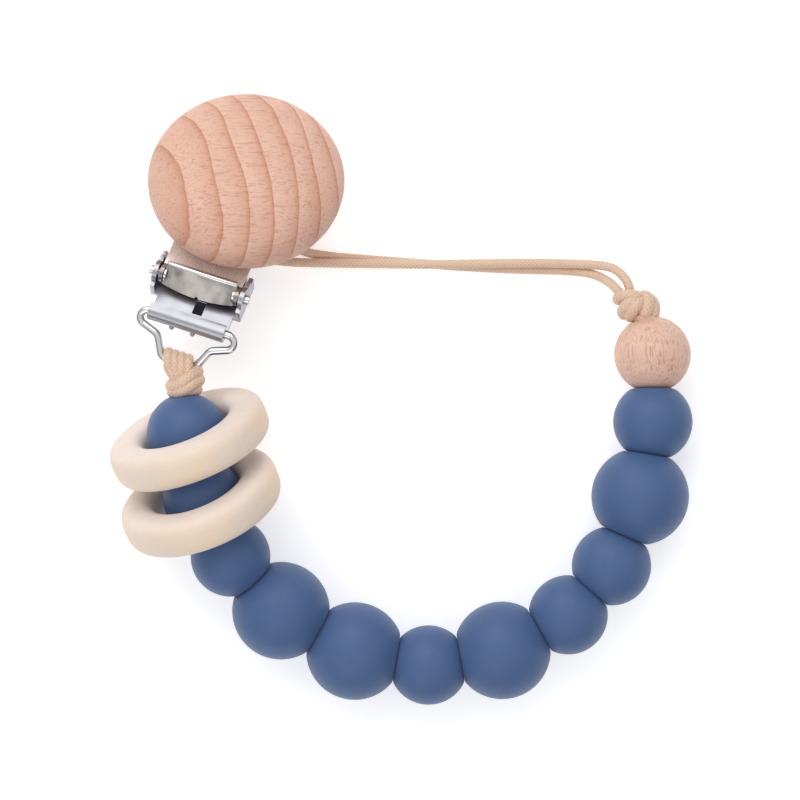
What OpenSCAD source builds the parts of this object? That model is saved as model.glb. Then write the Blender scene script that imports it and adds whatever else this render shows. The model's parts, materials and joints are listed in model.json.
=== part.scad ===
// Beaded soother holder: a clip with a turned wooden disc, a D-ring, a knotted cord
// strung with round beads, two loose wooden rings and a doubled cord loop at the end.
// Laid out on a table. Millimetres, +Z up, the origin on the table under the centre.

/* [Beads] */
// Diameter of a small silicone bead
small_bead_d = 12.2; // [11.8:0.1:12.2]
// Diameter of a large silicone bead
large_bead_d = 15; // [14.6:0.1:15]
// Diameter of the wooden end bead
wood_bead_d = 11.8; // [11:0.1:11.8]
// Bore through every bead
bead_bore_d = 3.2; // [3:0.1:3.6]

/* [Rings] */
// Outer diameter of a wooden ring
ring_outer_d = 25; // [24.6:0.1:25.4]
// Inner diameter of a wooden ring
ring_inner_d = 13.8; // [13.6:0.1:14.2]
// Thickness of a wooden ring
ring_thick = 6; // [5:0.1:6]

/* [Wooden disc] */
// Largest diameter of the disc
disc_d = 30.4; // [28:0.1:31]
// Height from the flat back to the top of the dome
disc_h = 11.5; // [10:0.1:12]
// Diameter of the flat back
disc_back_d = 23; // [20:0.5:24]

/* [Metal clip] */
// Width of the clip over its ears
clip_w = 14.6; // [14.2:0.1:15]
// Thickness of the base sheet
sheet = 0.7; // [0.6:0.05:0.8]
// Thickness of the lever sheet
lever_sheet = 0.6; // [0.5:0.05:0.6]
// Length of the base plate in front of the D-ring bar
base_len = 25; // [22:0.5:26]
// Diameter of the D-ring wire
wire_d = 1.15; // [1:0.05:1.2]

/* [Cord] */
// Diameter of the waxed cord
cord_d = 1.45; // [1.3:0.05:1.5]

/* [Hidden] */
bead_names = ["bead_01", "bead_02", "bead_03", "bead_04", "bead_05", "bead_06",
    "bead_07", "bead_08", "bead_09", "bead_10", "bead_11", "wood_bead"];
core_names = ["cord_in_bead_01", "cord_in_bead_02", "cord_in_bead_03",
    "cord_in_bead_04", "cord_in_bead_05", "cord_in_bead_06", "cord_in_bead_07",
    "cord_in_bead_08", "cord_in_bead_09", "cord_in_bead_10", "cord_in_bead_11",
    "cord_in_wood_bead"];
$fn = 48;

// The strand, bead by bead: S small, L large, W wood, with the heading of each
// bead's bore in plan and its slope, in degrees.
bead_kind = ["S", "S", "S", "L", "L", "S", "L", "S", "S", "L", "S", "W"];
bead_heading = [-82, -71, -59, -39, -19, 0, 20, 39, 58, 75, 87, 93];
bead_slope = [0, -2, -14, -7, 0, 0, 0, 0, 0, 0, -3, -4];
strand_start = [-33.2, 0, 11.95];
face_gap = 0.2;              // from a bead's face to the joint with the next bead
face_r = 8;                  // radius of a bead's soft domed face
function bead_d(k) = bead_kind[k] == "S" ? small_bead_d
    : bead_kind[k] == "L" ? large_bead_d : wood_bead_d;
function half_pitch(k) = bead_kind[k] == "S" ? 5.1 : bead_kind[k] == "L" ? 6.6 : 5.3;
function along(heading, slope) =
    [cos(slope) * cos(heading), cos(slope) * sin(heading), sin(slope)];
function bead_axis(k) = along(bead_heading[k], bead_slope[k]);
function junction(k) = k == 0 ? strand_start
    : junction(k - 1) + 2 * half_pitch(k - 1) * bead_axis(k - 1);
function bead_centre(k) = junction(k) + half_pitch(k) * bead_axis(k);

// The rings lean on the strand, each round its own bead.
ring_lean = [70, 66];        // between each ring's plane and the table
ring_turn = 21;              // heading of a ring's level diameter
ring_centre = [[-32.1, -5.95, 12.25], [-30.35, -15.4, 12.05]];
ring_tube = (ring_outer_d - ring_inner_d) / 2;

// The clip rests on the front of its disc, its rear end held up by the strand.
bar_centre = [-32.3, 11.8, 13.5];
clip_turn = -20.9;
clip_pitch = -22;
clip_roll = -8;
ear_in = clip_w / 2 - sheet; // inner face of an ear
pin_y = 5.7;                 // hinge line, from the D-ring bar
pin_z = 1.9;
pin_d = 1.5;
pin_fit = 0.05;
roll_in = wire_d / 2 + 0.08; // bore of the rolled rear edge
plate_z = -roll_in - sheet;  // underside of the base plate
lever_slope = 6;             // of the closed lever against the base
roll_y = 7.1;                // top of the bend at the lever's rear edge
roll_z = 2.5;
cheek_in = 5.75;             // inner face of a lever cheek
lever_len = 22;              // lever plate in front of the bend
disc_y = 22.4;               // centre of the disc's back, along the base
disc_shift = 0.8;            // the disc sits a little to the right

// The D-ring: bar, bulging corners, sides that curve in to a narrow foot.
bar_half = 6.45;
bend_r = 1.15;
corner_turn = 160;
side_len = 2.1;
neck_r = 1.6;
neck_turn = 45;
shank_len = 2.1;
shank_lean = corner_turn - neck_turn;
foot_half = bar_half + bend_r * sin(corner_turn) + side_len * cos(corner_turn)
    - neck_r * (sin(shank_lean) - sin(corner_turn)) + shank_len * cos(shank_lean)
    - bend_r * sin(shank_lean);
foot_y = -bend_r * (1 - cos(corner_turn)) - side_len * sin(corner_turn)
    + neck_r * (cos(corner_turn) - cos(shank_lean)) - shank_len * sin(shank_lean)
    - bend_r * (1 + cos(shank_lean));
ring_drop = 34;              // of the D-ring's foot below the base plate's plane
ring_side = 0.25;            // play of the D-ring along the rolled edge

// The doubled cord from the end knot, under the clip and back.
loop_rings_step = 3.2;
loop_route = [[35.6, 16.6, 6.0], [34.9, 18.6, 5.2], [33.0, 20.4, 3.8], [30, 21.0, 2.6],
    [26, 21.2, 2.15], [20, 21.3, 2.05], [12, 21.2, 2.15], [4, 21.1, 2.25],
    [-4, 21.2, 2.15], [-11, 21.3, 1.75], [-17, 21.5, 1.0], [-21.5, 22.2, 0.75],
    [-24.6, 23.7, 0.75], [-25.6, 26.4, 0.75], [-23.8, 28.6, 0.75],
    [-21.0, 28.3, 0.75], [-18.6, 25.9, 0.75], [-15.4, 23.4, 0.75], [-11.5, 22.5, 0.75],
    [-6, 22.0, 0.75], [2, 21.4, 0.75], [10, 20.8, 0.75], [18, 20.4, 0.75],
    [25, 20.2, 0.9], [29.5, 19.7, 1.7], [32.2, 18.4, 3.6], [34.1, 16.4, 6.0]];

module in_clip() {
    translate(bar_centre) rotate([0, 0, clip_turn]) rotate([clip_pitch, 0, 0])
        rotate([0, clip_roll, 0]) children();
}

// Puts a child that is drawn from the bead's centre along +Z on the strand.
module on_strand(k) {
    translate(bead_centre(k)) rotate([0, 90 - bead_slope[k], bead_heading[k]]) children();
}

module across(x0, x1, r) {
    translate([x0, 0, 0]) rotate([0, 90, 0]) cylinder(r = r, h = x1 - x0);
}

// ---- metal clip ----

module ear(side) {
    ear_y = 3.2;
    ear_len = 6.2;
    ear_top = 3.6;
    translate([side > 0 ? ear_in : -ear_in - sheet, 0, 0]) difference() {
        union() {
            translate([0, ear_y, plate_z]) cube([sheet, ear_len, ear_top - 1.8 - plate_z]);
            translate([0, pin_y, pin_z]) rotate([0, 90, 0])
                cylinder(r = 1.75, h = sheet);
            translate([0, pin_y, plate_z]) cube([sheet, 2.6, ear_top - 0.9 - plate_z]);
        }
        translate([-1, pin_y, pin_z]) rotate([0, 90, 0])
            cylinder(d = pin_d + 2 * pin_fit, h = sheet + 2);
    }
}

module clip_base() {
    roll_w = 12.2;
    window = [1.6, 2.6];
    color([0.78, 0.78, 0.80]) in_clip() {
        difference() {
            union() {
                // plate, narrower in front of the ears
                translate([-roll_w / 2, 0, plate_z]) cube([roll_w, 3.4, sheet]);
                translate([-ear_in - sheet, 3.2, plate_z]) cube([clip_w, 6.2, sheet]);
                translate([-5.6, 9.2, plate_z]) cube([11.2, base_len - 9.2, sheet]);
            }
            translate([-window[0] / 2 + 0.7, 1.9, plate_z - 1])
                cube([window[0], window[1], sheet + 2]);
        }
        // rear edge rolled round the D-ring bar
        difference() {
            union() {
                across(-roll_w / 2, roll_w / 2, roll_in + sheet);
                translate([-roll_w / 2, 0, roll_in]) cube([roll_w, 0.9, sheet]);
            }
            across(-roll_w, roll_w, roll_in);
            translate([-roll_w, 0, -roll_in - sheet - 1])
                cube([2 * roll_w, 5, 2 * roll_in + sheet + 1]);
        }
        // front edge turned up behind the teeth
        translate([-5.6, base_len - sheet, plate_z]) cube([11.2, sheet, 0.8]);
        for (side = [-1, 1]) ear(side);
        // two crimped nubs under the roll
        for (x = [-2.2, 1.2])
            translate([x, -roll_in - sheet + 0.15, -0.9]) sphere(r = 0.4);
    }
}

module jaw_insert() {
    insert_w = 10.6;
    teeth = 7;
    pitch = insert_w / teeth;
    color([0.93, 0.93, 0.92]) in_clip() {
        translate([-insert_w / 2, base_len - 5.2, plate_z + sheet])
            cube([insert_w, 4.4, 0.35]);
        for (i = [0 : teeth - 1])
            translate([-insert_w / 2 + i * pitch + 0.25, base_len - 2.4, plate_z + sheet])
                cube([pitch - 0.5, 1.5, 0.75]);
    }
}

module hinge_stub(side) {
    // riveted in the lever cheek, turning in the ear
    reach = clip_w / 2 + 0.75;
    color([0.85, 0.85, 0.87]) in_clip() translate([0, pin_y, pin_z])
        mirror([side > 0 ? 0 : 1, 0, 0]) {
            across(cheek_in - 0.25, reach, pin_d / 2);
            across(cheek_in - 0.45, cheek_in, pin_d / 2 + 0.35);
        }
}

module lever_frame() {
    in_clip() translate([0, roll_y, roll_z]) rotate([-lever_slope, 0, 0]) children();
}

module lever_plate() {
    bend = 0.75;             // outer radius of the bend at the rear edge
    lip_slope = 36;
    color([0.84, 0.83, 0.84]) {
        lever_frame() {
            // plate from the bend to its front end, under the disc
            translate([-cheek_in - lever_sheet, 0, -lever_sheet])
                cube([2 * (cheek_in + lever_sheet), 7, lever_sheet]);
            translate([-5.4, 6, -lever_sheet]) cube([10.8, lever_len - 6, lever_sheet]);
            // front edge bent down on the teeth
            translate([-5.2, lever_len - lever_sheet, -1.0])
                cube([10.4, lever_sheet, 1.0]);
            // rear bend, standing proud as a bead
            translate([0, 0, -0.45]) across(-cheek_in, cheek_in, bend);
        }
        in_clip() {
            difference() {
                // cheeks inside the ears, joined by the cam lip
                union() {
                    for (x = [-cheek_in - lever_sheet, cheek_in]) translate([x, 0, 0])
                        rotate([90, 0, 90]) linear_extrude(lever_sheet) union() {
                            translate([pin_y, pin_z]) circle(r = 1.4);
                            polygon([[pin_y - 1.4, pin_z], [pin_y - 0.6, 2.9], [7.1, 2.4],
                                [10.5, 2.0], [10.5, 1.6], [8.6, 0.6], [pin_y + 0.9, 0.75]]);
                        }
                    translate([0, roll_y, roll_z]) rotate([180 + lip_slope, 0, 0])
                        translate([-cheek_in, 0, -0.1]) cam_lip(2 * cheek_in);
                }
                for (side = [-1, 1]) mirror([side > 0 ? 0 : 1, 0, 0])
                    translate([cheek_in - 0.5, pin_y, pin_z]) rotate([0, 90, 0])
                        cylinder(d = pin_d, h = 2);
            }
        }
    }
}

// The lip behind the bend, with a curved free edge and a small centre notch.
module cam_lip(w) {
    sag = 0.7;
    root = 3.0;
    r = (w * w / 4 + sag * sag) / (2 * sag);
    mirror([0, 0, 1]) linear_extrude(0.55) difference() {
        union() {
            square([w, root]);
            intersection() {
                translate([0, root - 0.01]) square([w, 2 * sag]);
                translate([w / 2, root + sag - r]) circle(r = r, $fn = 180);
            }
        }
        translate([w / 2, root + sag]) circle(d = 0.6, $fn = 24);
    }
}

module disc_profile() {
    back_r = disc_back_d / 2;
    waist_h = 4.2;           // height of the widest line over the back
    r = disc_d / 2;
    dome = disc_h - waist_h;
    steps = 16;
    lower = [for (i = [0 : steps]) let (a = -90 + 90 * i / steps)
        [back_r + (r - back_r) * cos(a), waist_h + waist_h * sin(a)]];
    upper = [for (i = [1 : steps - 1]) let (a = 90 * i / steps)
        [r * pow(cos(a), 0.92), waist_h + dome * sin(a)]];
    polygon(concat([[0, 0]], lower, upper, [[0, disc_h]]));
}

module wood_disc() {
    color([0.86, 0.68, 0.58]) lever_frame()
        translate([disc_shift, (disc_y - roll_y) / cos(lever_slope), 0])
            rotate_extrude($fn = 96) disc_profile();
}

// ---- D-ring ----

module wire(length) {
    rotate([0, 90, 0]) cylinder(d = wire_d, h = length);
    translate([length, 0, 0]) children();
}

module turn(r, a) {
    mirror([0, a < 0 ? 1 : 0, 0]) {
        translate([0, r, 0]) rotate([0, 0, -90]) rotate_extrude(angle = abs(a))
            translate([r, 0]) circle(d = wire_d, $fn = 24);
    }
    translate([0, sign(a) * r, 0]) rotate([0, 0, a]) translate([0, -sign(a) * r, 0])
        children();
}

module d_ring_half() {
    wire(bar_half) turn(bend_r, -corner_turn) wire(side_len) turn(neck_r, neck_turn)
        wire(shank_len) turn(bend_r, shank_lean - 180) wire(foot_half);
}

module d_ring() {
    color([0.86, 0.86, 0.87]) in_clip() rotate([ring_drop, 0, 0]) translate([ring_side, 0, 0]) {
        d_ring_half();
        mirror([1, 0, 0]) d_ring_half();
    }
}

// ---- knots ----

wire_foot = [ring_side, foot_y * cos(ring_drop), foot_y * sin(ring_drop)];

module knot_band(r, tube) {
    rotate_extrude($fn = 36) translate([r, 0]) circle(r = tube, $fn = 20);
}

module d_ring_knot() {
    band_r = 1.42;
    band_step = 1.2;
    color([0.85, 0.72, 0.64]) {
        // three turns of cord round the wire
        in_clip() translate(wire_foot) for (x = [-1, 0, 1])
            translate([x * band_step, 0, 0]) rotate([0, 90, 0]) knot_band(band_r, 0.7);
        // gathered turns between the wire and the first bead
        translate([-33.0, 1.4, 11.95]) rotate([90, 0, 8]) knot_band(1.75, 0.95);
        translate([-32.7, 2.9, 12.0]) rotate([90, 0, 18]) knot_band(1.35, 0.95);
        translate([-33.2, 3.3, 12.0]) sphere(r = 1.5);
        translate([-33.1, 0.3, 11.95]) rotate([-90, 0, 8]) cylinder(r = 1.75, h = 2.6);
    }
}

module end_knot() {
    lobe_r = 1.8;
    lobe_step = 1.25;        // of each lobe from the knot's middle
    color([0.85, 0.72, 0.64]) translate([36.9, 14.9, 6.1]) {
        rotate([0, 90, -7]) rotate_extrude() difference() {
            union() {
                for (y = [-lobe_step, lobe_step]) translate([0, y]) circle(r = lobe_r);
                translate([0, -lobe_step]) square([1.5, 2 * lobe_step]);
            }
            translate([-lobe_r, -2 * lobe_r]) square([lobe_r, 4 * lobe_r]);
        }
        translate([0.9, -2.0, -0.1]) rotate([-90, 0, 4]) cylinder(r = 1.3, h = 2.2);
    }
}

// ---- strand ----

module bead(k) {
    wood = bead_kind[k] == "W";
    r = bead_d(k) / 2;
    face = half_pitch(k) - face_gap;
    color(wood ? [0.88, 0.72, 0.64] : [0.36, 0.46, 0.61]) on_strand(k)
        rotate_extrude($fn = 72) difference() {
            intersection() {
                circle(r = r, $fn = 72);
                translate([0, face - face_r]) circle(r = face_r, $fn = 96);
                translate([0, face_r - face]) circle(r = face_r, $fn = 96);
                translate([0, -r]) square([r, 2 * r]);
            }
            translate([-1, -r]) square([1 + bead_bore_d / 2, 2 * r]);
        }
}

module cord_in_bead(k) {
    half = half_pitch(k) - 0.32;
    color([0.85, 0.73, 0.66]) on_strand(k)
        for (x = [-0.5, 0.5]) translate([x * cord_d, 0, -half])
            cylinder(d = cord_d - 0.02, h = 2 * half, $fn = 24);
}

module ring(i) {
    soft = 1.9;              // radius of a ring's rounded edges
    color([0.91, 0.85, 0.79]) translate(ring_centre[i])
        rotate([-ring_lean[i], 0, ring_turn]) rotate_extrude($fn = 96)
            translate([ring_inner_d / 2, -ring_thick / 2]) ring_section(soft);
}

module ring_section(soft) {
    union() {
        translate([soft, 0]) square([ring_tube - 2 * soft, ring_thick]);
        translate([0, soft]) square([ring_tube, ring_thick - 2 * soft]);
        for (x = [soft, ring_tube - soft], y = [soft, ring_thick - soft])
            translate([x, y]) circle(r = soft, $fn = 32);
    }
}

// ---- free cord ----

// Catmull-Rom point between route points 1 and 2 of a window of four.
function spline(a, b, c, d, t) = 0.5 * (2 * b + (c - a) * t
    + (2 * a - 5 * b + 4 * c - d) * t * t + (3 * b - a - 3 * c + d) * t * t * t);
function at_route(i) = loop_route[min(max(i, 0), len(loop_route) - 1)];
function unit(v) = v / norm(v);
loop_line = concat([for (i = [0 : len(loop_route) - 2])
    let (n = max(1, round(norm(at_route(i + 1) - at_route(i)) / loop_rings_step)))
    for (j = [0 : n - 1])
        spline(at_route(i - 1), at_route(i), at_route(i + 1), at_route(i + 2), j / n)],
    [loop_route[len(loop_route) - 1]]);

module tube(line, r, sides) {
    n = len(line);
    points = [for (i = [0 : n - 1])
        let (ahead = unit(line[min(i + 1, n - 1)] - line[max(i - 1, 0)]),
            side = unit(cross(ahead, [0, 0, 1])), up = cross(side, ahead))
        for (j = [0 : sides - 1]) let (a = 360 * j / sides)
            line[i] + r * (cos(a) * side + sin(a) * up)];
    walls = [for (i = [0 : n - 2], j = [0 : sides - 1]) let (k = (j + 1) % sides)
        [i * sides + j, i * sides + k, (i + 1) * sides + k, (i + 1) * sides + j]];
    start_cap = [[for (j = [sides - 1 : -1 : 0]) j]];
    end_cap = [[for (j = [0 : sides - 1]) (n - 1) * sides + j]];
    polyhedron(points, concat(start_cap, walls, end_cap));
}

module cord_loop() {
    color([0.85, 0.73, 0.66]) tube(loop_line, cord_d / 2, 8);
}

clip_base();
jaw_insert();
hinge_stub(-1);  // hinge_stub_left
hinge_stub(1);  // hinge_stub_right
lever_plate();
wood_disc();
d_ring();
d_ring_knot();
ring(0);  // ring_1
ring(1);  // ring_2
end_knot();
cord_loop();
for (k = [0 : len(bead_kind) - 1]) {
    bead(k);
    cord_in_bead(k);
}
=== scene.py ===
"""Looks of the beaded soother holder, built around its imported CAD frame."""

import json
import math

import bmesh
import bpy
import numpy as np
from mathutils import Euler, Matrix, Vector


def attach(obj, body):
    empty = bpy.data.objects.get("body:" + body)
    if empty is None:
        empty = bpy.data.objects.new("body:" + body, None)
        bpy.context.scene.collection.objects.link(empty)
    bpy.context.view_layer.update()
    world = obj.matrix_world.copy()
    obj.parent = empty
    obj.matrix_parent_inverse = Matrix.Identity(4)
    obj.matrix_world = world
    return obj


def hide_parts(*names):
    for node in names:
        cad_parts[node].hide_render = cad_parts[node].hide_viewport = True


MM = 0.001
UP = Vector((0, 0, 1))
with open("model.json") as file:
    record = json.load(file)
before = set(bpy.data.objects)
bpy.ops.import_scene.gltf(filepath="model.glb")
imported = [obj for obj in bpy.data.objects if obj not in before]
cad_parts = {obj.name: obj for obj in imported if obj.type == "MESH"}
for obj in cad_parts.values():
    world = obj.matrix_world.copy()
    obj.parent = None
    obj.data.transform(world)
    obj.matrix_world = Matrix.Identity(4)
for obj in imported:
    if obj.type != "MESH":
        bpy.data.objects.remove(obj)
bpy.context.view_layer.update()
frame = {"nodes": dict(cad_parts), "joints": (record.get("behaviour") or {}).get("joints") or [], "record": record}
JOINTS = {j["name"]: j for j in frame["joints"]}
BODY_OF = {n: b for b, ns in frame["record"]["behaviour"]["bodies"].items() for n in ns}

# ---------------------------------------------------------------- camera

CAMERA_HEIGHT = 0.5
BEAD_LEVEL = 0.0075  # height of the large beads' centres, where the picture is to scale
PICTURE_WIDTH = 0.12308  # width that the picture covers at that level
SENSOR = 36.0


def add_camera():
    """A camera that looks straight down at the origin."""
    data = bpy.data.cameras.new("camera")
    data.sensor_width = SENSOR
    data.lens = SENSOR * (CAMERA_HEIGHT - BEAD_LEVEL) / PICTURE_WIDTH
    data.clip_start = 0.01
    data.clip_end = 10
    camera = bpy.data.objects.new("camera", data)
    camera.location = (0, 0, CAMERA_HEIGHT)
    bpy.context.scene.collection.objects.link(camera)
    bpy.context.scene.camera = camera


# ---------------------------------------------------------------- material graphs


def fill_ramp(node, stops):
    """Gives a colour ramp its (position, grey) stops."""
    elements = node.color_ramp.elements
    while len(elements) < len(stops):
        elements.new(0.5)
    for element, (position, grey) in zip(elements, stops):
        element.position = position
        element.color = (grey, grey, grey, 1)


class Graph:
    """A material whose nodes are made by short calls. Its textures work in millimetres.

    pose is the frame that the textures lie in, for a piece built in world places.
    """

    def __init__(self, name, pose=None):
        self.pose = pose or Matrix()
        self.material = bpy.data.materials.new(name)
        self.material.use_nodes = True
        self.tree = self.material.node_tree
        self.shader = self.tree.nodes["Principled BSDF"]

    def put(self, kind, **inputs):
        node = self.tree.nodes.new(kind)
        for key, value in inputs.items():
            self.feed(node.inputs[key.replace("_", " ")], value)
        return node

    def feed(self, socket, value):
        if isinstance(value, bpy.types.NodeSocket):
            self.tree.links.new(value, socket)
        else:
            socket.default_value = value

    def place(self, scale=(1, 1, 1), turn=(0, 0, 0)):
        """Texture places in millimetres; a scale under 1 stretches, and turn is in degrees."""
        coords = self.tree.nodes.new("ShaderNodeTexCoord").outputs["Object"]
        mapping = self.tree.nodes.new("ShaderNodeMapping")
        mapping.vector_type = "TEXTURE"
        turned = Euler([math.radians(a) for a in turn]).to_matrix()
        rotation = (self.pose.to_3x3() @ turned).to_euler()
        mapping.inputs["Location"].default_value = self.pose.translation
        mapping.inputs["Rotation"].default_value = rotation
        mapping.inputs["Scale"].default_value = [MM / s for s in scale]
        self.tree.links.new(coords, mapping.inputs["Vector"])
        return mapping.outputs["Vector"]

    def noise(self, where, scale, detail=2.0, roughness=0.5):
        kind = "ShaderNodeTexNoise"
        node = self.put(kind, Vector=where, Scale=scale, Detail=detail, Roughness=roughness)
        return node.outputs["Fac"]

    def streaks(self, scale, low, high, turn=(0, 0, 0), detail=2.0, roughness=0.5):
        """Stretched noise, 0 where it is under low and 1 where it is over high."""
        noise = self.noise(self.place(scale, turn), 1.0, detail, roughness)
        return self.ramp(noise, [(low, 0.0), (high, 1.0)])

    def math(self, operation, a, b=0.0, clamp=False):
        node = self.tree.nodes.new("ShaderNodeMath")
        node.operation = operation
        node.use_clamp = clamp
        self.feed(node.inputs[0], a)
        self.feed(node.inputs[1], b)
        return node.outputs[0]

    def total(self, *terms):
        """The sum of (value, share) terms."""
        whole = 0.0
        for value, share in terms:
            whole = self.math("ADD", whole, self.math("MULTIPLY", value, share))
        return whole

    def parts(self, where):
        return self.put("ShaderNodeSeparateXYZ", Vector=where).outputs

    def ramp(self, value, stops):
        node = self.put("ShaderNodeValToRGB", Fac=value)
        fill_ramp(node, stops)
        return node.outputs["Color"]

    def mix(self, share, a, b):
        node = self.tree.nodes.new("ShaderNodeMix")
        node.data_type = "RGBA"
        self.feed(node.inputs[0], share)
        for socket, value in ((node.inputs[6], a), (node.inputs[7], b)):
            is_socket = isinstance(value, bpy.types.NodeSocket)
            self.feed(socket, value if is_socket else (*value, 1))
        return node.outputs[2]

    def tint(self, colour, mask, share, toward):
        """The colour, moved toward another by a share where the mask is 1."""
        return self.mix(self.math("MULTIPLY", mask, share), colour, toward)

    def bump(self, height, depth_mm):
        node = self.put("ShaderNodeBump", Height=height, Distance=depth_mm * MM, Strength=1.0)
        return node.outputs["Normal"]

    def finish(self, colour, roughness, normal=None, **constants):
        self.feed(self.shader.inputs["Base Color"], colour)
        self.feed(self.shader.inputs["Roughness"], roughness)
        if normal is not None:
            self.feed(self.shader.inputs["Normal"], normal)
        for key, value in constants.items():
            self.shader.inputs[key.replace("_", " ")].default_value = value
        return self.material


def srgb(r, g, b):
    """A colour given as 0 to 255 display values, in linear light."""
    return tuple(
        (c / 255 / 12.92) if c < 10.3 else ((c / 255 + 0.055) / 1.055) ** 2.4
        for c in (r, g, b)
    )


def silicone():
    """Matt blue silicone with a little dust."""
    g = Graph("silicone")
    where = g.place()
    base = g.mix(g.noise(where, 0.22, 2), srgb(70, 97, 141), srgb(77, 104, 149))
    dust = g.math("GREATER_THAN", g.noise(where, 5.5, 1), 0.78)
    colour = g.tint(base, dust, 0.10, srgb(150, 170, 200))
    roughness = g.ramp(g.noise(where, 1.8, 3), [(0.3, 0.46), (0.7, 0.56)])
    normal = g.bump(g.noise(where, 9.0, 3, 0.6), 0.012)
    return g.finish(colour, roughness, normal, Sheen_Weight=0.12, Sheen_Roughness=0.4, IOR=1.41)


# across one growth line: early wood darkens slowly into late wood, which ends sharply
GROWTH_LINE = [(0.0, 0.0), (0.40, 0.10), (0.78, 0.36), (0.92, 0.72), (0.965, 1.0), (0.995, 0.05)]


def beech(name, pose, turn, line_step, slant, rise, pale, dark, lines_share, flecks_share):
    """Turned beech: growth lines line_step mm apart, short and long ray flecks across.

    slant and rise tip the lines over along the texture's Y and Z.
    """
    g = Graph(name, pose)
    where = g.place(turn=turn)
    x, y, z = g.parts(where)
    wander = g.noise(g.place(scale=(1, 0.25, 0.4), turn=turn), 0.16, 1)
    wobble = g.noise(where, 0.5, 2)
    across = g.total((x, 1), (z, -rise), (y, slant), (wander, 2.6), (wobble, 0.35))
    lines = g.ramp(g.math("FRACT", g.math("DIVIDE", across, line_step)), GROWTH_LINE)
    short = g.streaks((0.5, 5.5, 5.5), 0.54, 0.68, turn, 3, 0.55)
    long = g.streaks((0.14, 2.4, 2.4), 0.64, 0.70, turn, 1, 0.4)
    flecks = g.math("MAXIMUM", short, g.math("MULTIPLY", long, 0.8))
    pores = g.streaks((9.0, 1.3, 9.0), 0.55, 0.72, turn, 2, 0.6)
    middling = [0.55 * p + 0.45 * q for p, q in zip(pale, dark)]
    deep = [0.72 * c for c in dark]
    base = g.mix(g.noise(where, 0.16, 3, 0.6), pale, middling)
    colour = g.tint(base, lines, lines_share, dark)
    colour = g.tint(colour, flecks, flecks_share, deep)
    colour = g.tint(colour, pores, 0.25, deep)
    normal = g.bump(g.total((flecks, -0.6), (pores, -0.8), (lines, -0.5)), 0.03)
    roughness = g.ramp(flecks, [(0.0, 0.50), (1.0, 0.66)])
    return g.finish(colour, roughness, normal, IOR=1.45)


WALL_RADIUS = 11.2  # in mm, where a ring's warmer outer wall begins
WALL_BLEND = 1.3  # in mm, over which it comes in


def pale_wood():
    """Maple rings: creamy, with fine straight grain and a warmer outer wall."""
    g = Graph("pale_wood")
    where = g.place()
    x, y = g.parts(where)[:2]
    radius = g.math("SQRT", g.total((x, x), (y, y)))
    outer = g.math("DIVIDE", g.math("SUBTRACT", radius, WALL_RADIUS), WALL_BLEND, clamp=True)
    grain = g.streaks((0.35, 3.2, 3.2), 0.38, 0.70, (0, 0, 12), 4, 0.6)
    lines = g.streaks((0.06, 1.3, 1.3), 0.4, 0.6)
    patches = g.ramp(g.noise(where, 0.14, 2), [(0.35, 0.25), (0.65, 0.85)])
    base = g.mix(g.noise(where, 0.25, 2), srgb(242, 228, 218), srgb(236, 219, 208))
    colour = g.tint(base, grain, 0.22, srgb(226, 204, 186))
    colour = g.tint(colour, lines, 0.14, srgb(226, 206, 188))
    colour = g.tint(colour, outer, patches, srgb(247, 220, 188))
    normal = g.bump(g.math("MULTIPLY", grain, -1.0), 0.014)
    roughness = g.ramp(grain, [(0.0, 0.48), (1.0, 0.62)])
    return g.finish(colour, roughness, normal, IOR=1.45)


def waxed_cord():
    """Pale waxed cord, with painted shade in the gaps that the mesh's weave attribute marks."""
    g = Graph("waxed_cord")
    fibre = g.noise(g.place(scale=(5, 5, 5)), 1.6, 4, 0.7)
    tone = g.noise(g.place(), 0.7, 3)
    base = g.mix(tone, srgb(238, 209, 184), srgb(226, 194, 168))
    colour = g.mix(g.ramp(fibre, [(0.45, 0.0), (0.75, 0.4)]), base, srgb(198, 156, 126))
    weave = g.put("ShaderNodeVertexColor")
    weave.layer_name = "weave"
    # painted shade: darker where the weave marks a gap between strands
    gap = g.math("SUBTRACT", 1.0, weave.outputs["Color"])
    colour = g.tint(colour, gap, 0.34, srgb(176, 130, 98))
    return g.finish(colour, 0.46, g.bump(fibre, 0.03), Sheen_Weight=0.15, Coat_Weight=0.12)


def steel(name, tint, rough_low, rough_high):
    """Plated steel with fine scratches along X."""
    g = Graph(name)
    fine = g.noise(g.place(scale=(0.4, 14, 14)), 1.0, 3, 0.6)
    smear = g.noise(g.place(), 0.5, 3)
    rough = g.ramp(g.total((fine, 0.5), (smear, 0.5)), [(0.3, rough_low), (0.7, rough_high)])
    colour = g.mix(smear, tint, [0.86 * c for c in tint])
    return g.finish(colour, rough, g.bump(fine, 0.004), Metallic=1.0)


def insert_plastic():
    g = Graph("insert_plastic")
    where = g.place()
    colour = g.mix(g.noise(where, 0.6), srgb(238, 236, 230), srgb(222, 219, 212))
    return g.finish(colour, 0.42, g.bump(g.noise(where, 6.0), 0.01), IOR=1.49)


# ---------------------------------------------------------------- mesh helpers


def add_piece(name, mesh, matrix=None):
    obj = bpy.data.objects.new(name, mesh)
    bpy.context.scene.collection.objects.link(obj)
    if matrix is not None:
        obj.matrix_world = matrix
    return obj


def add_object(name, vertices, faces, matrix=None):
    mesh = bpy.data.meshes.new(name)
    mesh.from_pydata([tuple(v) for v in vertices], [], faces)
    mesh.validate()
    mesh.polygons.foreach_set("use_smooth", [True] * len(mesh.polygons))
    return add_piece(name, mesh, matrix)


def dress(obj, material, body, slot, *nodes):
    """Gives a new piece its material, its body and the CAD nodes it stands for; slot is not used."""
    obj.data.materials.clear()
    obj.data.materials.append(material)
    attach(obj, body)
    if nodes:
        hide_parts(*nodes)


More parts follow.
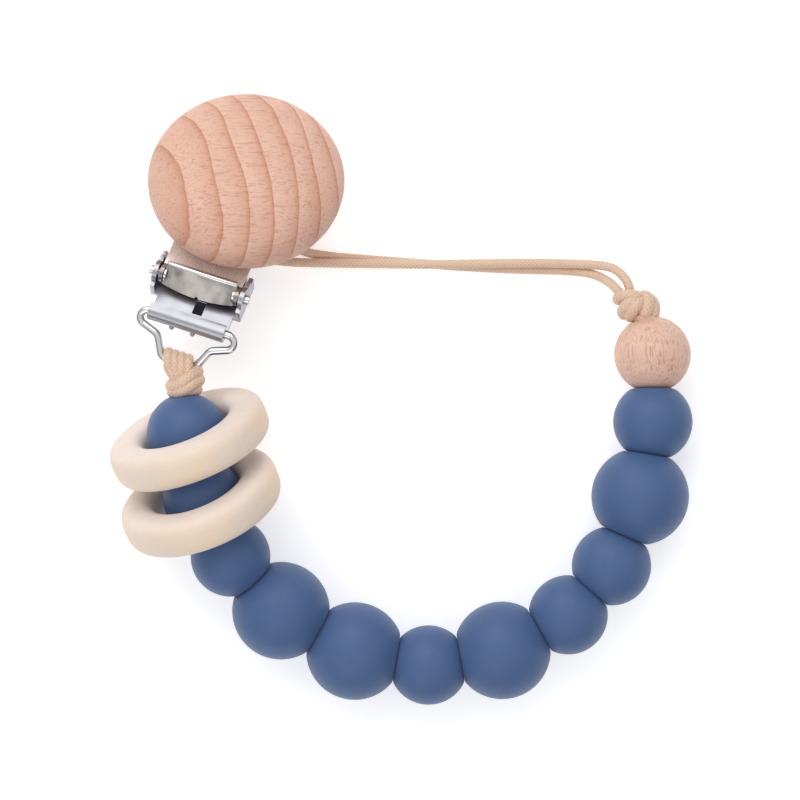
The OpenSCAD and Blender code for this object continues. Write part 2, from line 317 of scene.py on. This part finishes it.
def node_points(node):
    mesh = frame["nodes"][node].data
    points = np.zeros(len(mesh.vertices) * 3)
    mesh.vertices.foreach_get("co", points)
    return points.reshape(-1, 3)


def local_points(node, matrix):
    """A CAD node's vertices, as seen in a frame."""
    inverse = np.array(matrix.inverted())
    return node_points(node) @ inverse[:3, :3].T + inverse[:3, 3]


def axes_matrix(x, y, z, origin):
    """The frame at origin with the three given directions."""
    matrix = Matrix((x, y, z)).transposed().to_4x4()
    matrix.translation = Vector(origin)
    return matrix


def rightward(joint):
    """A joint's axis as a unit array, the way round that points right."""
    axis = np.array(JOINTS[joint]["axis"])
    axis = axis / np.linalg.norm(axis)
    return axis if axis[0] > 0 else -axis


def lathe_points(profile, sides):
    """Rings of points from a (radius, height) profile turned about Z."""
    angles = np.arange(sides) * 2 * math.pi / sides
    return [(r * math.cos(a), r * math.sin(a), z) for r, z in profile for a in angles]


def lathe_faces(rings, sides, closed):
    """Quads between rings of points. closed joins the last ring to the first; otherwise
    both ends are capped."""
    faces = []
    for i in range(rings if closed else rings - 1):
        a, b = i * sides, (i + 1) % rings * sides
        for j in range(sides):
            k = (j + 1) % sides
            faces.append((a + j, a + k, b + k, b + j))
    if not closed:
        faces.append(tuple(range(sides))[::-1])
        faces.append(tuple(range((rings - 1) * sides, rings * sides)))
    return faces


def smooth_route(points, step):
    """A Catmull-Rom curve through the points, with a point about every step."""
    p = [np.array(q, float) for q in points]
    line = []
    for i in range(len(p) - 1):
        a, b, c, d = p[max(i - 1, 0)], p[i], p[i + 1], p[min(i + 2, len(p) - 1)]
        count = max(2, round(float(np.linalg.norm(c - b)) / step))
        square = 2 * a - 5 * b + 4 * c - d
        cube = 3 * b - a - 3 * c + d
        for t in np.arange(count) / count:
            line.append(0.5 * (2 * b + (c - a) * t + square * t**2 + cube * t**3))
    line.append(p[-1])
    return np.array(line)


STRAND_WIDTH = 0.78 * MM  # of one braided strand, round the cord
STRAND_LENGTH = 0.62 * MM  # along the cord from one crossing to the next but one
BRAID_RELIEF = 0.075 * MM  # depth of the valleys between strands
STRAND_FULLNESS = 0.7  # under 1 makes a strand's crest broader
FACETS = 7  # of the mesh, across one strand
TIP = 0.02  # square of the share of its radius that a cord keeps at its very end


def braided(line, radius):
    """Points, faces and weave of a braided cord; weave is 1 on a strand and 0 in a gap."""
    ahead = np.gradient(line, axis=0)
    ahead /= np.linalg.norm(ahead, axis=1)[:, None]
    side = np.cross(ahead[0], (0, 0, 1.0))
    if np.linalg.norm(side) < 0.1:
        side = np.cross(ahead[0], (1.0, 0, 0))
    run = np.r_[0, np.cumsum(np.linalg.norm(np.diff(line, axis=0), axis=1))]
    carriers = round(2 * math.pi * radius / STRAND_WIDTH)
    sides = FACETS * carriers
    angles = np.arange(sides) * 2 * math.pi / sides
    vertices, weave = [], []
    for i, (point, way) in enumerate(zip(line, ahead)):
        side = side - way * (side @ way)
        side /= np.linalg.norm(side)
        up = np.cross(side, way)
        turn = 2 * math.pi * run[i] / STRAND_LENGTH
        right = np.cos(carriers * angles + turn)
        left = np.cos(carriers * angles - turn)
        height = np.clip(np.maximum(right, left), 0, 1) ** STRAND_FULLNESS
        weave.append(height)
        r = radius - BRAID_RELIEF * (1 - height)
        from_end = min(run[i], run[-1] - run[i]) / radius
        if from_end < 1:
            r = r * math.sqrt(max(TIP, 1 - (1 - from_end) ** 2))
        sideways = (np.cos(angles) * r)[:, None] * side
        vertices.append(point + sideways + (np.sin(angles) * r)[:, None] * up)
    faces = lathe_faces(len(line), sides, False)
    return np.concatenate(vertices), faces, np.concatenate(weave)


def add_braid(name, runs):
    """One object of several braided runs, with the weave as a colour attribute."""
    vertices, faces, weave = [], [], []
    for run_vertices, run_faces, run_weave in runs:
        shift = len(vertices)
        vertices.extend(run_vertices)
        faces.extend(tuple(i + shift for i in face) for face in run_faces)
        weave.extend(run_weave)
    obj = add_object(name, vertices, faces)
    colours = np.repeat(np.array(weave)[:, None], 4, axis=1)
    colours[:, 3] = 1
    attribute = obj.data.color_attributes.new("weave", "FLOAT_COLOR", "POINT")
    attribute.data.foreach_set("color", colours.ravel())
    return obj


# ---------------------------------------------------------------- cords

CORD_RADIUS = 0.725 * MM
CORD_STEP = 0.11 * MM  # between two rings of a braided mesh
# in metres, from the end knot along the table, round under the clip and back
LOOP_ROUTE = [
    (0.0356, 0.0166, 0.0060),
    (0.0349, 0.0186, 0.0052),
    (0.0330, 0.0204, 0.0038),
    (0.0300, 0.0210, 0.0026),
    (0.0260, 0.0212, 0.00215),
    (0.0200, 0.0213, 0.00205),
    (0.0120, 0.0212, 0.00215),
    (0.0040, 0.0211, 0.00225),
    (-0.0040, 0.0212, 0.00215),
    (-0.0110, 0.0213, 0.00175),
    (-0.0170, 0.0215, 0.0010),
    (-0.0215, 0.0222, 0.00075),
    (-0.0246, 0.0237, 0.00075),
    (-0.0256, 0.0264, 0.00075),
    (-0.0238, 0.0286, 0.00075),
    (-0.0210, 0.0283, 0.00075),
    (-0.0186, 0.0259, 0.00075),
    (-0.0154, 0.0234, 0.00075),
    (-0.0115, 0.0225, 0.00075),
    (-0.0060, 0.0220, 0.00075),
    (0.0020, 0.0214, 0.00075),
    (0.0100, 0.0208, 0.00075),
    (0.0180, 0.0204, 0.00075),
    (0.0250, 0.0202, 0.0009),
    (0.0295, 0.0197, 0.0017),
    (0.0322, 0.0184, 0.0036),
    (0.0341, 0.0164, 0.0060),
]


def add_cord_loop(material):
    line = smooth_route(LOOP_ROUTE, CORD_STEP)
    loop = add_braid("cord_loop_braid", [braided(line, CORD_RADIUS)])
    dress(loop, material, "strand_end", "cord", "cord_loop")


THIN = CORD_RADIUS / MM  # radius in mm of a single strand in a knot
FULL = 1.0  # and of strands pressed together


def add_knot(name, runs, material, body, node):
    """A tied knot from (radius, points) runs of cord, in millimetres."""
    braids = [
        braided(smooth_route(np.array(points) * MM, CORD_STEP), radius * MM)
        for radius, points in runs
    ]
    dress(add_braid(name, braids), material, body, "cord", node)


def add_d_ring_knot(material):
    foot = np.array(JOINTS["d_ring_swing"]["pos_m"]) / MM
    along = rightward("d_ring_swing")
    runs = []
    # turns over the D-ring's foot, packed side by side
    for step in (-1.65, -0.55, 0.55, 1.65):
        wire = foot + along * (step + 0.35)
        tail = -33.1 + 0.4 * step
        turn = [
            (tail, 2.6, 13.3),
            wire + (-0.1 * step, -1.6, 1.35),
            wire + (0, -0.3, 1.4),
            wire + (0, 0.7, 1.0),
            wire + (0, 1.15, -0.1),
            wire + (0, 0.7, -1.1),
            wire + (0, -0.2, -1.45),
            (tail, 2.8, 10.9),
        ]
        runs.append((THIN, turn))
    # two runs that rise to the right and wrap round as the right lobe
    upper = [
        (-34.9, 2.3, 11.6),
        (-34.7, 2.2, 13.0),
        (-33.9, 2.1, 13.9),
        (-32.7, 2.9, 14.4),
        (-31.7, 3.8, 14.0),
        (-30.9, 4.3, 12.9),
        (-31.1, 4.1, 11.2),
    ]
    lower = [
        (-34.8, 1.5, 12.6),
        (-33.8, 1.3, 13.7),
        (-32.5, 1.8, 14.2),
        (-31.4, 2.6, 13.9),
        (-30.7, 3.1, 12.9),
        (-30.8, 2.9, 11.2),
    ]
    # the last turn, an ellipse down on the first bead
    last = []
    for step in range(14):
        a = math.radians(-30 * step - 60)
        c, s = math.cos(a), math.sin(a)
        last.append((-32.8 + 1.9 * c, 1.4 + 0.2 * c, 12.1 + 1.6 * s))
    # two thick runs fill the middle
    core = [(-33.4, 4.4, 12.2), (-33.0, 2.6, 12.2), (-32.6, 0.9, 12.1)]
    cross = [(-34.1, 2.4, 12.3), (-32.5, 2.7, 12.5), (-31.3, 3.2, 12.4)]
    runs += [(FULL, upper), (FULL, lower), (0.85, last), (1.5, core), (1.3, cross)]
    add_knot("d_ring_knot_braid", runs, material, "strand_start", "d_ring_knot")


def add_end_knot(material):
    collar = [
        (33.9, 15.2, 4.6),
        (33.7, 15.8, 6.2),
        (34.6, 16.1, 7.3),
        (35.9, 16.1, 7.6),
        (37.0, 15.7, 7.0),
        (37.2, 15.2, 5.6),
    ]
    left_inner = [
        (37.4, 15.3, 7.2),
        (36.5, 14.7, 8.1),
        (35.7, 13.8, 8.1),
        (35.4, 13.1, 7.2),
        (35.7, 12.8, 5.8),
    ]
    left_outer = [
        (36.6, 15.3, 7.4),
        (35.5, 15.0, 7.9),
        (34.7, 14.3, 7.6),
        (34.4, 13.6, 6.6),
        (34.9, 13.0, 5.2),
    ]
    right_inner = [
        (36.9, 15.9, 6.0),
        (37.9, 15.8, 7.1),
        (38.1, 14.8, 7.8),
        (37.8, 13.6, 7.9),
        (37.3, 12.7, 7.3),
    ]
    right_outer = [
        (37.8, 15.8, 5.6),
        (38.8, 15.2, 6.5),
        (39.1, 14.2, 7.0),
        (38.9, 13.1, 7.1),
        (38.4, 12.4, 6.9),
    ]
    # the last turn, down on the wooden bead
    last = [
        (36.2, 12.7, 5.4),
        (36.4, 12.7, 6.9),
        (37.4, 12.6, 7.7),
        (38.6, 12.7, 7.6),
        (39.3, 12.7, 6.5),
        (39.0, 12.7, 5.2),
    ]
    # two thick runs fill the middle
    cross = [(34.9, 14.9, 6.2), (36.4, 14.3, 6.5), (38.2, 14.2, 6.3)]
    core = [(37.2, 14.4, 6.2), (37.9, 12.9, 6.1), (38.4, 11.9, 6.1)]
    runs = [(0.9, collar), (FULL, left_inner), (FULL, left_outer), (1.05, right_inner)]
    runs += [(FULL, right_outer), (THIN, last), (1.6, cross), (1.4, core)]
    add_knot("end_knot_braid", runs, material, "strand_end", "end_knot")


# ---------------------------------------------------------------- beads

BEADS = [f"bead_{i:02d}" for i in range(1, 12)] + ["wood_bead"]
CORES = [f"cord_in_bead_{i:02d}" for i in range(1, 12)] + ["cord_in_wood_bead"]
BEAD_SIDES = 96
BORE_RADIUS = 1.55 * MM
BORE_LIP = 0.35 * MM  # radius that rounds the bore's mouth
LIP_LIFT = 0.02 * MM  # that brings the mouth level with the ball's edge
WALL_START = 0.7 * MM  # from the mouth in to the bore's straight wall
SQUASH_SOFTNESS = 0.10 * MM  # how gently a bead rounds into its flattened face


def strand_layout():
    """Per bead: centre, both end points on the cord, axis and radius, from the frame."""
    bends = [np.array(JOINTS[f"bend_{k:02d}"]["pos_m"]) for k in range(1, len(BEADS))]
    rows = []
    for k, node in enumerate(BEADS):
        points = node_points(node)
        middle = (points.min(0) + points.max(0)) / 2
        start = bends[k - 1] if k else 2 * middle - bends[0]
        end = bends[k] if k < len(bends) else 2 * middle - bends[-1]
        centre = (start + end) / 2
        axis = (end - start) / np.linalg.norm(end - start)
        off = (points - centre) - np.outer((points - centre) @ axis, axis)
        radius = float(np.linalg.norm(off, axis=1).max())
        rows.append({"centre": centre, "start": start, "end": end, "axis": axis, "radius": radius})
    return rows


def bead_profile(radius):
    """(distance from the bore's axis, distance along it) round a bored ball."""
    start = math.asin((BORE_RADIUS + BORE_LIP) / radius)
    angles = np.linspace(start, math.pi - start, 72)
    ball = [(radius * math.sin(a), -radius * math.cos(a)) for a in angles]
    top = ball[-1][1]
    mouth = []
    for a in np.linspace(0.3, math.pi / 2, 4):
        r = BORE_RADIUS + BORE_LIP * (1 - math.sin(a))
        mouth.append((r, top - BORE_LIP * (1 - math.cos(a)) + LIP_LIFT))
    wall = [(BORE_RADIUS, top - WALL_START), (BORE_RADIUS, WALL_START - top)]
    return ball + mouth + wall + [(r, -z) for r, z in reversed(mouth)]


def add_bead(k, layout, material, slot):
    """A bored ball, flattened softly where it meets each neighbour."""
    row = layout[k]
    axis = Vector(row["axis"])
    across = axis.cross(UP).normalized()
    matrix = axes_matrix(across, axis.cross(across), axis, row["centre"])
    inverse = matrix.inverted()
    profile = bead_profile(row["radius"])
    points = np.array(lathe_points(profile, BEAD_SIDES))
    for step, end in ((-1, "start"), (1, "end")):
        if not 0 <= k + step < len(layout):
            continue
        other = layout[k + step]
        facing = Vector(row["axis"] + other["axis"]).normalized() * step
        normal = np.array(inverse.to_3x3() @ facing)
        anchor = np.array(inverse @ Vector(row[end]))
        beyond = (points - anchor) @ normal
        soft = -SQUASH_SOFTNESS * np.logaddexp(0, -beyond / SQUASH_SOFTNESS)
        points += np.outer(soft - beyond, normal)
    faces = lathe_faces(len(profile), BEAD_SIDES, True)
    bead = add_object(BEADS[k] + "_ball", points, faces, matrix)
    dress(bead, material, BODY_OF[BEADS[k]], slot, BEADS[k])


# ---------------------------------------------------------------- turned wood

RING_POWER = 0.68  # of its section: 1 is round, towards 0 square
RING_SIDES = 160


def add_ring(node, joint, material):
    """A turned ring with flat faces and rounded edges, on its joint's axis."""
    z = Vector(JOINTS[joint]["axis"]).normalized()
    x = UP.cross(z).normalized()
    matrix = axes_matrix(x, z.cross(x), z, JOINTS[joint]["pos_m"])
    points = local_points(node, matrix)
    radial = np.linalg.norm(points[:, :2], axis=1)
    inner, outer = radial.min(), radial.max()
    half = float(np.abs(points[:, 2]).max())
    middle, reach = (inner + outer) / 2, (outer - inner) / 2
    profile = []
    for a in np.linspace(0, 2 * math.pi, 56, endpoint=False):
        c, s = math.cos(a), math.sin(a)
        r = middle + reach * math.copysign(abs(c) ** RING_POWER, c)
        profile.append((r, half * math.copysign(abs(s) ** RING_POWER, s)))
    faces = [f[::-1] for f in lathe_faces(len(profile), RING_SIDES, True)]
    ring = add_object(node + "_turned", lathe_points(profile, RING_SIDES), faces, matrix)
    dress(ring, material, BODY_OF[node], "pale_wood", node)


def disc_matrix():
    """The disc's own frame: origin on its back, +Z out of the dome, +Y away from the D-ring."""
    # the flat back is the disc's largest plane face
    back = max(frame["nodes"]["wood_disc"].data.polygons, key=lambda p: p.area)
    up = -Vector(back.normal)
    ahead = Vector(JOINTS["lever_open"]["axis"]).cross(up)
    if ahead.y < 0:
        ahead = -ahead
    right = ahead.cross(up).normalized()
    matrix = axes_matrix(right, up.cross(right), up, node_points("wood_disc").mean(0))
    local = local_points("wood_disc", matrix)
    middle = (local.min(0) + local.max(0)) / 2
    middle[2] = local[:, 2].min()
    matrix.translation = matrix @ Vector(middle)
    return matrix


DISC_SIDES = 192
DISC_WAIST = 4.2 * MM  # height of the widest line over the back
DISC_BACK = 11.5 * MM  # radius of the flat back
DISC_EASE = 0.99  # of the CAD disc's radius
DISC_FULLNESS = 0.92  # under 1 makes the dome's shoulder fuller
DISC_SHIFT = Vector((0.3, 0.45, 0.15)) * MM  # of the turned disc on the lever


def add_disc(matrix, material):
    """The turned disc, in world places: a rounded rim on the flat back, then the dome."""
    local = local_points("wood_disc", matrix)
    radius = DISC_EASE * float(np.linalg.norm(local[:, :2], axis=1).max())
    height = float(local[:, 2].max())
    profile = [(f * DISC_BACK, 0.0) for f in (0.02, 0.3, 0.6, 0.85, 1.0)]
    for a in np.linspace(-90, 0, 26)[1:]:
        c, s = math.cos(math.radians(a)), math.sin(math.radians(a))
        profile.append((DISC_BACK + (radius - DISC_BACK) * c, DISC_WAIST * (1 + s)))
    for a in np.linspace(0, 89.2, 64)[1:]:
        c, s = math.cos(math.radians(a)), math.sin(math.radians(a))
        profile.append((radius * c**DISC_FULLNESS, DISC_WAIST + (height - DISC_WAIST) * s))
    points = lathe_points(profile, DISC_SIDES)
    vertices = [matrix @ (Vector(point) + DISC_SHIFT) for point in points]
    faces = lathe_faces(len(profile), DISC_SIDES, False)
    disc = add_object("wood_disc_turned", vertices, faces)
    dress(disc, material, BODY_OF["wood_disc"], "beech", "wood_disc")


# ---------------------------------------------------------------- metal

PIN_AHEAD = 5.7 * MM  # hinge pin from the D-ring's bar, along the base plate
PIN_HEIGHT = 1.9 * MM  # and square to it
BEND_AHEAD = 7.15 * MM  # the lever's rear bend from the D-ring's bar, along the base plate
BEND_HEIGHT = 2.62 * MM  # and square to it
BEND_HALF = 5.7 * MM  # half the bend's length
BEND_RADIUS = 0.56 * MM
BEND_END = 0.2 * MM  # length of its rounded ends


def clip_matrix():
    """The base plate's frame at the D-ring's bar: +X to the right, +Y ahead, +Z up."""
    right = Vector(rightward("clip_swing"))
    bar = Vector(JOINTS["clip_swing"]["pos_m"])
    to_pin = Vector(JOINTS["lever_open"]["pos_m"]) - bar
    to_pin = (to_pin - right * to_pin.dot(right)).normalized()
    # the pin stands over the plate: turn the line from bar to pin down on to the plate
    up = right.cross(to_pin)
    slope = math.atan2(PIN_HEIGHT, PIN_AHEAD)
    ahead = to_pin * math.cos(slope) - up * math.sin(slope)
    return axes_matrix(right, ahead, right.cross(ahead), bar)


def lever_steel(clip):
    """Polished sheet: painted shade on the cam lip, which is dim, and painted light on the strip before the disc,
    which is pale, pinkish as a painted reflection of the disc, and less metallic.
    """
    g = Graph("lever_steel", clip)
    where = g.place()
    # painted light: the strip before the disc is marked out to be painted pale
    painted_light_strip = g.math("GREATER_THAN", g.parts(where)[1], BEND_AHEAD / MM)
    smear = g.ramp(g.noise(where, 0.30, 2), [(0.38, 0.0), (0.62, 1.0)])
    fine = g.noise(g.place(scale=(14, 0.5, 14)), 1.0, 3, 0.6)
    # painted shade: the cam lip is dim, darker or lighter at random
    lip_painted_shade = g.mix(smear, (0.24, 0.215, 0.20), (0.56, 0.53, 0.51))
    # painted reflection: the strip's pale pinkish colour stands for the disc's light on it
    colour = g.mix(painted_light_strip, lip_painted_shade, (0.84, 0.785, 0.76))
    rough = g.ramp(fine, [(0.3, 0.24), (0.7, 0.36)])
    # less metallic on the strip, so that its painted light shows
    metallic = g.math("SUBTRACT", 1.0, g.math("MULTIPLY", painted_light_strip, 0.42))
    g.feed(g.shader.inputs["Metallic"], metallic)
    return g.finish(colour, rough, g.bump(fine, 0.004))


def add_lever_bend(clip, material):
    """The lever's rolled rear edge, as a rod with rounded ends between its cheeks."""
    straight = BEND_HALF - BEND_END
    profile = [(0.3, BEND_HALF), (0.8, BEND_HALF), (1.0, straight)]
    profile += [(share, -x) for share, x in reversed(profile)]
    sides = 32
    vertices = []
    for share, x in profile:
        for a in np.arange(sides) * 2 * math.pi / sides:
            y = BEND_AHEAD + BEND_RADIUS * share * math.cos(a)
            z = BEND_HEIGHT + BEND_RADIUS * share * math.sin(a)
            vertices.append(clip @ Vector((x, y, z)))
    rod = add_object("lever_bend", vertices, lathe_faces(len(profile), sides, False))
    dress(rod, material, BODY_OF["lever_plate"], "steel")


SAME_POINT = 0.002 * MM  # vertices nearer to each other than this become one
FLAT_ANGLE = math.radians(2)  # faces that meet at less become one
EDGE_ANGLE = math.radians(32)  # edges sharper than this are rounded
CORNER_ANGLE = math.radians(40)  # edges sharper than this are shaded as corners


def add_formed(node, material, edge_mm=0.07, swell_mm=0):
    """A CAD metal part again as a new piece: sharp edges rounded, faces out by swell_mm."""
    mesh = frame["nodes"][node].data.copy()
    mesh.name = node + "_formed"
    bm = bmesh.new()
    bm.from_mesh(mesh)
    bmesh.ops.remove_doubles(bm, verts=bm.verts, dist=SAME_POINT)
    bmesh.ops.dissolve_limit(bm, angle_limit=FLAT_ANGLE, verts=bm.verts, edges=bm.edges)
    bm.normal_update()
    for vertex in bm.verts:
        vertex.co += vertex.normal * swell_mm * MM
    bm.to_mesh(mesh)
    bm.free()
    obj = add_piece(node + "_formed", mesh)
    bevel = obj.modifiers.new("edges", "BEVEL")
    bevel.width = edge_mm * MM
    bevel.segments = 2
    bevel.limit_method = "ANGLE"
    bevel.angle_limit = EDGE_ANGLE
    bevel.harden_normals = True
    mesh.polygons.foreach_set("use_smooth", [True] * len(mesh.polygons))
    mesh.set_sharp_from_angle(angle=CORNER_ANGLE)
    dress(obj, material, BODY_OF[node], "steel", node)


# a near-black plate under the base plate's window, put there as painted shade
TAB_SIZE = Vector((2.6, 3.4, 0.3)) * MM
TAB_EDGE = 0.08 * MM
TAB_PLACE = Vector((0.7, 3.3, -2.2)) * MM  # its middle, in the base plate's frame
TAB_SLOPE = math.radians(-14)


def add_window_shade_plate(clip, material):
    """A near-black plate tilted down under the base plate's window: painted shade that fills the window's dark
    hollow.
    """
    bm = bmesh.new()
    bmesh.ops.create_cube(bm, size=1)
    bmesh.ops.scale(bm, vec=TAB_SIZE, verts=bm.verts)
    bmesh.ops.bevel(bm, geom=list(bm.edges), offset=TAB_EDGE, segments=2, affect="EDGES")
    mesh = bpy.data.meshes.new("window_shade_plate")
    bm.to_mesh(mesh)
    bm.free()
    place = clip @ Matrix.Translation(TAB_PLACE) @ Matrix.Rotation(TAB_SLOPE, 4, "X")
    dress(add_piece("window_shade_plate", mesh, place), material, "clip", "steel")


# ---------------------------------------------------------------- studio

FLOOR_GLOW = 0.6  # the floor is a light table, so that it stays white in soft shadow
FLOOR_GREY = (0.8, 0.8, 0.8, 1)
FLOOR_REACH = 2  # in metres, from the origin to each side


def add_floor():
    corners = [(x * FLOOR_REACH, y * FLOOR_REACH, 0) for x, y in ((-1, -1), (1, -1), (1, 1), (-1, 1))]
    floor = add_object("floor", corners, [(0, 1, 2, 3)])
    glow = {"Emission_Color": FLOOR_GREY, "Emission_Strength": FLOOR_GLOW}
    floor.data.materials.append(Graph("floor").finish(FLOOR_GREY, 0.9, **glow))


def add_light(name, size, energy, place):
    """A round light that looks at the origin."""
    data = bpy.data.lights.new(name, "AREA")
    data.shape = "DISK"
    data.size = size
    data.energy = energy
    light = bpy.data.objects.new(name, data)
    light.location = place
    light.rotation_euler = (-Vector(place)).to_track_quat("-Z", "Y").to_euler()
    bpy.context.scene.collection.objects.link(light)


def sky_ramp(tree, direction, stops):
    """Grey stops over one part of the view's direction, from -1 to 1."""
    ramp = tree.nodes.new("ShaderNodeValToRGB")
    place = tree.nodes.new("ShaderNodeMapRange")
    place.inputs["From Min"].default_value = -1
    tree.links.new(direction, place.inputs["Value"])
    tree.links.new(place.outputs[0], ramp.inputs["Fac"])
    fill_ramp(ramp, stops)
    return ramp.outputs["Color"]


def add_sky():
    """Studio walls, darker low down and darker still on the picture's lower side."""
    world = bpy.data.worlds.new("studio")
    bpy.context.scene.world = world
    world.use_nodes = True
    tree = world.node_tree
    coords = tree.nodes.new("ShaderNodeTexCoord")
    split = tree.nodes.new("ShaderNodeSeparateXYZ")
    tree.links.new(coords.outputs["Generated"], split.inputs[0])
    rise_stops = [(0.5, 0.25), (0.62, 0.12), (0.80, 0.75), (1.0, 1.0)]
    rise = sky_ramp(tree, split.outputs["Z"], rise_stops)
    depth = sky_ramp(tree, split.outputs["Y"], [(0.1, 0.55), (0.45, 0.9), (1.0, 1.0)])
    mix = tree.nodes.new("ShaderNodeMix")
    mix.data_type = "RGBA"
    mix.blend_type = "MULTIPLY"
    mix.inputs[0].default_value = 1.0
    tree.links.new(rise, mix.inputs[6])
    tree.links.new(depth, mix.inputs[7])
    background = tree.nodes["Background"]
    tree.links.new(mix.outputs[2], background.inputs["Color"])
    background.inputs["Strength"].default_value = 1.0


# ---------------------------------------------------------------- the object

add_camera()
CORD = waxed_cord()
add_cord_loop(CORD)
add_d_ring_knot(CORD)
add_end_knot(CORD)

LAYOUT = strand_layout()
SILICONE = silicone()
DISC = disc_matrix()
DISC_WOOD = beech(
    "beech_disc",
    DISC,
    turn=(0, 0, 21),
    line_step=4.2,
    slant=0.25,
    rise=0.42,
    pale=srgb(240, 200, 181),
    dark=srgb(197, 131, 102),
    lines_share=0.9,
    flecks_share=0.5,
)
BEAD_WOOD = beech(
    "beech_bead",
    None,
    turn=(0, 90, 6),
    line_step=3.3,
    slant=0.1,
    rise=0.1,
    pale=srgb(244, 206, 188),
    dark=srgb(200, 146, 120),
    lines_share=0.15,
    flecks_share=0.6,
)
for index in range(len(BEADS) - 1):
    add_bead(index, LAYOUT, SILICONE, "silicone")
add_bead(len(BEADS) - 1, LAYOUT, BEAD_WOOD, "beech")
for node, material in [(core, CORD) for core in CORES] + [("jaw_insert", insert_plastic())]:
    frame["nodes"][node].data.materials.clear()
    frame["nodes"][node].data.materials.append(material)

add_disc(DISC, DISC_WOOD)
RING_WOOD = pale_wood()
for ring in ("ring_1", "ring_2"):
    add_ring(ring, ring + "_spin", RING_WOOD)

CLIP = clip_matrix()
BRIGHT_STEEL = steel("bright_steel", (0.74, 0.73, 0.75), 0.12, 0.26)
add_formed("clip_base", steel("sheet_steel", (0.42, 0.42, 0.455), 0.24, 0.40))
add_formed("lever_plate", lever_steel(CLIP))
add_lever_bend(CLIP, BRIGHT_STEEL)
for side in ("left", "right"):
    add_formed("hinge_stub_" + side, BRIGHT_STEEL, edge_mm=0.12)
add_formed("d_ring", BRIGHT_STEEL, edge_mm=0.01, swell_mm=0.075)
# painted shade: the near-black plate seen through the base plate's window
add_window_shade_plate(CLIP, steel("shaded_steel", (0.08, 0.075, 0.09), 0.4, 0.6))

add_floor()
add_light("key", 0.5, 0.95, (-0.10, 0.31, 0.31))
add_light("fill", 0.9, 3.0, (-0.35, -0.85, 0.85))
add_sky()
bpy.context.scene.view_settings.view_transform = "Standard"
